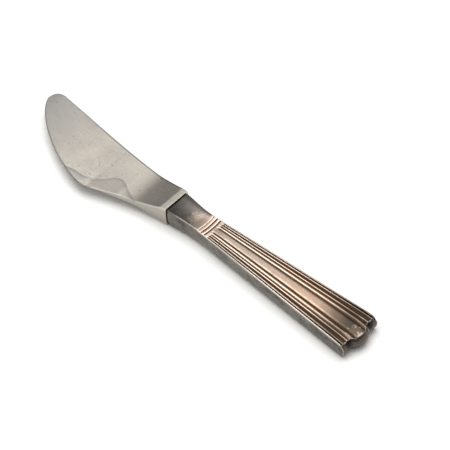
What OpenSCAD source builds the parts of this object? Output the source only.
// Fruit knife with an upswept blade and a hollow, reeded handle.
// The knife lies flat. X runs along the handle's axis to the tip, Y to the cutting edge, Z up.
// The origin is the middle of the flat land under the bolster, on which the knife rests.

/* [Blade] */
// Length from the back of the bolster to the tip
blade_len = 75.2; // [66:0.1:90]
// Distance from the back of the bolster to the heel, where the cutting edge starts
heel_pos = 33.5; // [28:0.5:36]
// Distance from the back of the bolster to the deepest place of the cutting edge
belly_pos = 36.6; // [36.2:0.1:44]
// Depth of the cutting edge below the handle's axis at that place
belly_drop = 15.4; // [12:0.1:18]
// Fullness of the cutting edge's curve, 1 is a straight line and 2 an ellipse
belly_fullness = 1.44; // [1.3:0.02:2]
// Slope of the lower edge where it leaves the bolster
ricasso_slope = 0.15; // [0.05:0.01:0.22]
// Height of the spine above the handle's axis just in front of the bolster
spine_root = 6.1; // [5.8:0.1:7.6]
// Height of the spine above the handle's axis where the tip's rounding starts
spine_tip = 11.7; // [10:0.1:14]
// Height of the foremost point of the tip above the handle's axis
tip_height = 7; // [5:0.1:9.5]
// Length over which the spine is rounded into the tip
tip_round = 4.6; // [2.5:0.1:8]
// Thickness of the spine near the bolster
spine_t = 1.5; // [1:0.1:2.2]
// Thickness of the spine at the tip
tip_t = 0.9; // [0.6:0.1:1.2]
// Thickness of the lower edge between bolster and heel
ricasso_t = 2; // [0.8:0.1:2.4]
// Thickness behind the bevel of the cutting edge
edge_t = 0.5; // [0.3:0.05:0.7]
// Thickness left at the cutting edge itself
edge_land = 0.12; // [0.06:0.02:0.2]

/* [Bolster and tang] */
// Width of the bolster at its back
bolster_w = 11.8; // [10.8:0.1:12.4]
// Thickness of the bolster at its back
bolster_t = 9.3; // [8.8:0.1:11]
// Length of the flat land round the bolster's back
bolster_land = 0.6; // [0.3:0.1:1.2]
// Length of the sloped collar in front of the land
collar_len = 2.2; // [1:0.1:4]
// Height of that slope
collar_rise = 0.2; // [0.1:0.05:0.9]
// Length over which the blade's faces sweep up to the collar
root_len = 20; // [14:0.5:26]
// Outward curve of the bolster's side walls
bolster_bulge = 0.25; // [0.05:0.05:0.5]
// Length of the tang
tang_len = 40; // [25:1:60]
// Width of the tang at the bolster
tang_w = 4.8; // [3.5:0.1:5.6]
// Width of the tang at its end
tang_end_w = 3; // [2:0.1:3.4]
// Thickness of the tang
tang_t = 2.6; // [1.8:0.1:3.2]

/* [Handle] */
// Length from the mouth to the end of the rounded lobe's top edge
handle_len = 92.6; // [80:0.2:110]
// Width of the top face at the mouth
mouth_w = 10.4; // [10:0.1:10.6]
// Thickness at the mouth
mouth_t = 8.3; // [7.6:0.1:8.7]
// Width of the top face at the neck
neck_w = 8.9; // [8.2:0.1:9.8]
// Distance from the mouth to the narrowest place of the neck
neck_pos = 11.5; // [9:0.5:13.5]
// Width of the top face at the butt
butt_w = 18; // [14:0.2:22]
// Thickness of the grip
grip_t = 7; // [6.4:0.1:7.4]
// Outward curve of the side walls
side_bulge = 0.4; // [0.2:0.05:0.8]
// Hollow of the neck's top face
neck_dish = 0.35; // [0:0.05:0.5]
// Radius of the butt's lobe
lobe_r = 5.2; // [4:0.1:6.4]
// How far the lobe stands out of the butt's shoulders
lobe_out = 2.1; // [1.5:0.1:3.4]
// Radius of the shoulders' outer corners
corner_r = 0.6; // [0.4:0.1:1.8]
// Outward curve of the butt's end wall
end_bulge = 1.2; // [0.4:0.1:1.8]
// Length over which the top face falls to the end wall
end_fall = 5; // [2:0.5:8]
// Drop of that fall
end_drop = 0.6; // [0.2:0.1:0.8]
// Thickness of the sheet below the grooves
wall = 0.6; // [0.4:0.05:0.9]

/* [Reeds and bands] */
// Distance from the mouth to the first cross groove
band_pos = 14.5; // [14:0.1:16]
// Distance between cross grooves
band_pitch = 1.65; // [1.2:0.05:1.8]
// Depth of the cross grooves
band_depth = 0.35; // [0.15:0.05:0.5]
// Depth of the reeds' grooves where they start
reed_depth_start = 0.32; // [0.15:0.01:0.45]
// Depth of the reeds' grooves at the butt
reed_depth_butt = 0.5; // [0.25:0.01:0.6]
// Crown of the reeded face
reed_crown = 0.15; // [0:0.05:0.4]
// Drop of the top face's outer edges
edge_drop = 0.14; // [0.06:0.02:0.35]

/* [Fits] */
// Gap between bolster and handle, where the cement shows
mouth_gap = 0.45; // [0.2:0.05:0.8]
// Thickness of the solder line
seam_t = 0.2; // [0.1:0.05:0.4]
// Clearance of the cement to the shells and the tang
cement_gap = 0.1; // [0.05:0.01:0.2]

/* [Hidden] */

// The knife's middle plane lies half the bolster's thickness above what it rests on.
axis_z = bolster_t / 2;
bolster_back = -bolster_land / 2;
mouth_x = bolster_back - mouth_gap;

// Blends, used by every form below
function mix(a, b, t) = a + (b - a) * t;
function clamp01(t) = max(0, min(1, t));
function ease(t) = (1 - cos(180 * clamp01(t))) / 2;
function quarter(t, power) = pow(max(0, 1 - pow(clamp01(t), power)), 1 / power);

// A solid skinned over rings that all have the same number of points. A cap is a list of faces that
// closes the first or the last ring, in that ring's own numbers, and is the plain ring unless given.
function reversed(list) = [for (i = [len(list) - 1:-1:0]) list[i]];
module skin(rings, cap = undef) {
    count = len(rings[0]);
    last = len(rings) - 1;
    faces = is_undef(cap) ? [[for (j = [0:count - 1]) j]] : cap;
    sides = [
        for (i = [0:last - 1], j = [0:count - 1])
            let (a = i * count + j, b = i * count + (j + 1) % count)
                each [[a, b, a + count], [b, b + count, a + count]]
    ];
    first_cap = [for (face = faces) reversed(face)];
    last_cap = [for (face = faces) [for (j = face) last * count + j]];
    polyhedron([for (ring = rings) each ring], concat(first_cap, last_cap, sides));
}

// Blade: outline of spine and lower edge, by the distance d in front of the bolster's land
BLADE_REACH = blade_len - bolster_land;
HEEL = heel_pos - bolster_land;
BELLY = belly_pos - bolster_land;
ROUND_START = BLADE_REACH - tip_round;
ROOT_EASE = 12;
TIP_POWER = 2.3;
SPINE_POWER = 1.75;

function spine_line(d) =
    mix(bolster_w / 2, spine_root, ease(d / ROOT_EASE))
        + (spine_tip - spine_root) * pow(d / ROUND_START, SPINE_POWER);
function spine_y(d) =
    d < ROUND_START
        ? -spine_line(d)
        : -mix(tip_height, spine_tip, quarter((d - ROUND_START) / tip_round, TIP_POWER));
function belly_y(d) =
    mix(-tip_height, belly_drop, quarter(abs(d - BELLY) / (BLADE_REACH - BELLY), belly_fullness));
RICASSO_CURVE = (belly_y(HEEL) - bolster_w / 2 - ricasso_slope * HEEL) / pow(HEEL, 2);
function edge_y(d) =
    d < HEEL
        ? bolster_w / 2 + ricasso_slope * d + RICASSO_CURVE * d * d
        : belly_y(d);

// Blade: half thickness, a wedge from spine to edge that sweeps up to the collar on a round arc
COLLAR_H = bolster_t / 2 - collar_rise;
SWEEP_LEN = root_len - collar_len;
SWEEP_R = (pow(SWEEP_LEN, 2) + pow(COLLAR_H, 2)) / (2 * COLLAR_H);
RICASSO_FADE = 12;
BEVEL_SHARE = 0.95;
THIN_SIDE = 0.1;

function sweep(d) =
    let (run = max(0, min(SWEEP_LEN, root_len - d)))
        (SWEEP_R - sqrt(pow(SWEEP_R, 2) - pow(run, 2))) / COLLAR_H;
function wedge(d, v) =
    let (behind_heel = clamp01((HEEL - d) / RICASSO_FADE))
    let (spine_h = mix(spine_t, tip_t, d / BLADE_REACH) / 2)
    let (edge_h = mix(edge_t, ricasso_t, behind_heel) / 2)
    let (land_h = mix(edge_land, ricasso_t, behind_heel) / 2)
        v < BEVEL_SHARE
            ? mix(spine_h, edge_h, v / BEVEL_SHARE)
            : mix(edge_h, land_h, (v - BEVEL_SHARE) / (1 - BEVEL_SHARE));
function blade_half(d, v) =
    d < collar_len
        ? mix(bolster_t / 2, COLLAR_H, d / collar_len)
        : mix(wedge(d, v), COLLAR_H, sweep(d));
function side_out(d) = bolster_bulge * mix(THIN_SIDE, 1, sweep(d));

BLADE_SHARES = [0, 0.03, 0.25, 0.5, 0.75, BEVEL_SHARE, 1];
function blade_ring(d) =
    let (spine = spine_y(d), edge = edge_y(d), last = len(BLADE_SHARES) - 1)
        concat(
            [[d, spine - side_out(d), 0]],
            [for (v = BLADE_SHARES) [d, mix(spine, edge, v), blade_half(d, v)]],
            [[d, edge + side_out(d), 0]],
            [for (i = [last:-1:0])
                let (v = BLADE_SHARES[i])
                    [d, mix(spine, edge, v), -blade_half(d, v)]]
        );

SWEEP_STEPS = 9;
RICASSO_STEPS = 4;
BELLY_STEPS = 10;
TIP_STEPS = 14;
TIP_BLUNT = 0.985;
TIP_START = mix(HEEL, BLADE_REACH, 0.45);
BLADE_STATIONS = concat(
    [0],
    [for (i = [0:SWEEP_STEPS]) mix(collar_len, root_len, i / SWEEP_STEPS)],
    [for (i = [1:RICASSO_STEPS]) mix(root_len, HEEL, i / RICASSO_STEPS)],
    [for (i = [1:BELLY_STEPS]) mix(HEEL, TIP_START, i / BELLY_STEPS)],
    [for (i = [1:TIP_STEPS]) mix(TIP_START, BLADE_REACH, sin(90 * TIP_BLUNT * i / TIP_STEPS))]
);

// Handle: half width and half height of the top face at a distance s behind the mouth
SHOULDER_S = handle_len - lobe_out;
FLARE_EASE = 7;
FLARE_SLOPE = (butt_w - neck_w) / 2 / (SHOULDER_S - neck_pos - FLARE_EASE / 2);

function flare(d) = d < FLARE_EASE ? pow(max(0, d), 2) / (2 * FLARE_EASE) : d - FLARE_EASE / 2;
function half_width(s) =
    mix(mouth_w, neck_w, ease(s / neck_pos)) / 2 + FLARE_SLOPE * flare(s - neck_pos);
function half_height(s) = mix(mouth_t, grip_t, 1 - pow(1 - clamp01(s / band_pos), 2)) / 2;

// Handle: where each lengthwise line ends at the butt, on a shoulder or on the lobe. The share down says how
// far the end wall has come from the top face to the middle plane, where it bulges and has sharper corners.
BUTT_HALF = half_width(SHOULDER_S);
LOBE_CENTRE = SHOULDER_S + lobe_out - lobe_r;
CORNER_SHARPENING = 0.5;
function swell(down) = 1 - pow(1 - down, 2);
function line_end(y, down) =
    let (grow = end_bulge * swell(down))
    let (on_lobe = LOBE_CENTRE + sqrt(max(0, pow(lobe_r + grow, 2) - pow(y, 2))))
    let (corner = corner_r * (1 - CORNER_SHARPENING * swell(down)))
    let (past_corner = (abs(y) - BUTT_HALF + corner) / corner)
    let (on_shoulder = SHOULDER_S + grow - corner + corner * quarter(past_corner, 2))
        abs(y) < lobe_r + grow ? max(on_lobe, on_shoulder) : on_shoulder;

// Handle: the lengthwise lines, as [share of the half width at the bands, share at the butt, groove].
// Valleys part a crowned panel, three reeds, a flute between the second and third, and an edge bead, which
// is half as round as a reed and ends at the side wall.
VALLEYS_START = [0.28, 0.54, 0.69, 0.74, 0.9];
VALLEYS_BUTT = [0.3, 0.535, 0.69, 0.78, 0.92];
BEAD_STEPS = 5;
FLUTE = 2;
EDGE_BEAD = len(VALLEYS_START) - 1;
EDGE_RISE = 0.6;

function bead_lines(k) =
    let (outer_start = k < EDGE_BEAD ? VALLEYS_START[k + 1] : 1)
    let (outer_butt = k < EDGE_BEAD ? VALLEYS_BUTT[k + 1] : 1)
    let (steps = k == FLUTE ? 1 : BEAD_STEPS)
        [for (i = [0:steps - 1])
            let (t = i / steps)
            let (across = k == EDGE_BEAD ? min(0.5, t / 2 / EDGE_RISE) : t)
                [mix(VALLEYS_START[k], outer_start, t), mix(VALLEYS_BUTT[k], outer_butt, t),
                 pow(2 * across - 1, 2)]];
PANEL_POWER = 4;
PANEL_LINES = [for (t = [0.45, 0.7, 0.88]) [t * VALLEYS_START[0], t * VALLEYS_BUTT[0], pow(t, PANEL_POWER)]];
HALF_LINES = concat(PANEL_LINES, [for (k = [0:len(VALLEYS_START) - 1]) each bead_lines(k)], [[1, 1, 0]]);
TOP_LINES = concat(
    [for (i = [len(HALF_LINES) - 1:-1:0]) [-HALF_LINES[i][0], -HALF_LINES[i][1], HALF_LINES[i][2]]],
    [[0, 0, 0]],
    HALF_LINES
);

// Handle: height of the top face
REED_START = band_pos + 3 * band_pitch;
REED_RAMP = 0.5;
function band_cut(s) =
    let (t = (s - band_pos) / band_pitch)
        t < -0.5 || t > 2.5 ? 0 : band_depth * pow(2 * abs(t - round(t)) - 1, 2);
function reed_cut(s, groove) =
    mix(reed_depth_start, reed_depth_butt, clamp01((s - REED_START) / (SHOULDER_S - REED_START)))
        * clamp01((s - REED_START) / REED_RAMP) * groove;
function face_curve(s, v) = (1 - v * v) * mix(-neck_dish, reed_crown, clamp01((s - neck_pos) / neck_pos));
function end_cut(s, end) = end_drop * pow(clamp01(1 - (end - s) / end_fall), 2);
function top_z(s, line, v, y) =
    half_height(s) + face_curve(s, v) - end_cut(s, line_end(y, 0))
        - (abs(v) == 1 ? edge_drop : band_cut(s) + reed_cut(s, line[2]));

// Handle: outside of the upper half, across the handle at a share f of the way from start to the butt.
// At the butt the share down goes from 0 to 1 and makes the end wall.
WALL_SHARES = [0, 0.35, 0.7];
function side_wall(edge, out) =
    [for (share = WALL_SHARES)
        [edge[0], edge[1] + out * side_bulge * (1 - share * share), mix(seam_t / 2, edge[2], share)]];
function line_share(s, line) =
    mix(line[0], line[1], clamp01((s - REED_START) / (SHOULDER_S - REED_START)));
function top_face(start, f, down) = [
    for (line = TOP_LINES)
        let (butt_y = line[1] * BUTT_HALF)
        let (top_end = line_end(butt_y, 0))
        let (s = mix(start, top_end, f))
        let (v = line_share(s, line))
            [s + line_end(butt_y, down) - top_end, v * half_width(s),
             mix(top_z(s, line, v, butt_y), seam_t / 2, down)]
];
function outside(start, f, down) =
    let (face = top_face(start, f, down))
        concat(side_wall(face[0], -1), face, reversed(side_wall(face[len(face) - 1], 1)));

// Handle: the hollow, a rounded box along the same lines, drawn in by an inset
HOLLOW_POWER = 0.5;
HOLLOW_STEP = 15;
function rounded(t) = sign(t) * pow(abs(t), HOLLOW_POWER);
function hollow_end(inset) = SHOULDER_S - corner_r - inset;
function hollow(s, down, inset, base, arc) =
    let (side = half_width(s) + side_bulge - inset)
    let (deepest = max(reed_depth_butt, neck_dish, band_depth) + end_cut(s, SHOULDER_S))
    let (face = half_height(s) - deepest - inset)
        [for (angle = [0:HOLLOW_STEP:arc])
            [s + end_bulge * swell(down), -side * rounded(cos(angle)),
             mix(base, face, rounded(sin(angle)) * (1 - down))]];

// Handle: one closed section of a half shell, over the outside and back through the hollow
function shell_ring(start, f, down) =
    concat(
        outside(start, f, down),
        reversed(hollow(mix(start, hollow_end(wall), f), down, wall, seam_t / 2, 180))
    );

NECK_STEPS = 8;
BAND_STEPS = 4;
NECK_END = band_pos - 0.6 * band_pitch;
NECK_ROWS = [for (i = [0:NECK_STEPS]) NECK_END * i / NECK_STEPS];
BAND_ROWS = [for (i = [-BAND_STEPS / 2:5 * BAND_STEPS / 2]) band_pos + band_pitch * i / BAND_STEPS];
REED_ROWS = [0, 0.007, 0.25, 0.5, 0.75, 0.93, 0.965, 0.98, 0.99, 1];
END_STEPS = 5;
SHELL_RINGS = concat(
    [for (s = concat(NECK_ROWS, BAND_ROWS)) shell_ring(s, 0, 0)],
    [for (f = REED_ROWS) shell_ring(REED_START, f, 0)],
    [for (i = [1:END_STEPS]) shell_ring(REED_START, 1, i / END_STEPS)]
);

// Handle: a cap over such a section, one face for each step along the hollow, fanned to the outside
function bearing(p) = atan2(p[2] - seam_t / 2, -p[1]);
MOUTH_OUTSIDE = outside(0, 0, 0);
MOUTH_HOLLOW = hollow(0, 0, wall, seam_t / 2, 180);
SEEN_FROM = [for (p = MOUTH_HOLLOW) len([for (q = MOUTH_OUTSIDE) if (bearing(q) <= bearing(p)) q]) - 1];
function hollow_index(j) = len(MOUTH_OUTSIDE) + len(MOUTH_HOLLOW) - 1 - j;
SHELL_CAP = [
    for (j = [0:len(MOUTH_HOLLOW) - 2])
        concat([hollow_index(j)], [for (i = [SEEN_FROM[j]:SEEN_FROM[j + 1]]) i], [hollow_index(j + 1)])
];

// Places the handle's own lengths, which count from the mouth to the butt, on the knife
module behind_mouth() {
    translate([mouth_x, 0, axis_z])
        mirror([1, 0, 0])
            children();
}

// Tang, widest at the bolster and pointed at its end, grown by a clearance
TANG_POINT = 3;
module tang(clear) {
    end = bolster_back - tang_len - clear;
    translate([0, 0, axis_z - tang_t / 2 - clear])
        linear_extrude(tang_t + 2 * clear)
            polygon([
                [0, -tang_w / 2 - clear],
                [0, tang_w / 2 + clear],
                [end + TANG_POINT, tang_end_w / 2 + clear],
                [end, 0],
                [end + TANG_POINT, -tang_end_w / 2 - clear]
            ]);
}

module blade() {
    side = bolster_w / 2;
    face = bolster_t / 2;
    color("lightsteelblue") {
        translate([bolster_land / 2, 0, axis_z])
            skin([for (d = BLADE_STATIONS) blade_ring(d)]);
        translate([bolster_back, 0, axis_z])
            rotate([90, 0, 90])
                linear_extrude(bolster_land)
                    polygon([
                        [-side, -face], [side, -face], [side + bolster_bulge, 0],
                        [side, face], [-side, face], [-side - bolster_bulge, 0]
                    ]);
        tang(0);
    }
}

module upper_shell() {
    color("rosybrown")
        behind_mouth()
            skin(SHELL_RINGS, SHELL_CAP);
}

module lower_shell() {
    color("tan")
        translate([0, 0, 2 * axis_z])
            mirror([0, 0, 1])
                behind_mouth()
                    skin(SHELL_RINGS, SHELL_CAP);
}

// The solder fills the narrow joint between the rims of the two shells.
module solder_seam() {
    outer_last = len(MOUTH_OUTSIDE) - 1;
    ring_last = len(SHELL_RINGS[0]) - 1;
    end = len(SHELL_RINGS) - 1;
    rim = concat(
        [for (i = [0:end]) SHELL_RINGS[i][0]],
        [for (j = [1:outer_last - 1]) SHELL_RINGS[end][j]],
        [for (i = [end:-1:0]) SHELL_RINGS[i][outer_last]],
        [for (i = [0:end]) SHELL_RINGS[i][outer_last + 1]],
        [for (j = [outer_last + 2:ring_last - 1]) SHELL_RINGS[end][j]],
        [for (i = [end:-1:0]) SHELL_RINGS[i][ring_last]]
    );
    color("silver")
        behind_mouth()
            linear_extrude(seam_t, center = true)
                polygon([for (p = rim) [p[0], p[1]]]);
}

// The cement fills the hollow up to the back of the bolster and leaves room for the tang.
CEMENT_END = [0.3, 0.6, 0.85];
module cement_core() {
    inset = wall + cement_gap;
    end = hollow_end(inset);
    last_angle = 360 - HOLLOW_STEP;
    color("dimgray")
        difference() {
            behind_mouth()
                skin(concat(
                    [hollow(-mouth_gap, 0, inset, 0, last_angle)],
                    [for (s = [2:2:neck_pos + FLARE_EASE]) hollow(s, 0, inset, 0, last_angle)],
                    [for (s = [end - 3, end]) hollow(s, 0, inset, 0, last_angle)],
                    [for (down = CEMENT_END) hollow(end, down, inset, 0, last_angle)]
                ));
            tang(cement_gap);
        }
}

blade();
upper_shell();
lower_shell();
solder_seam();
cement_core();
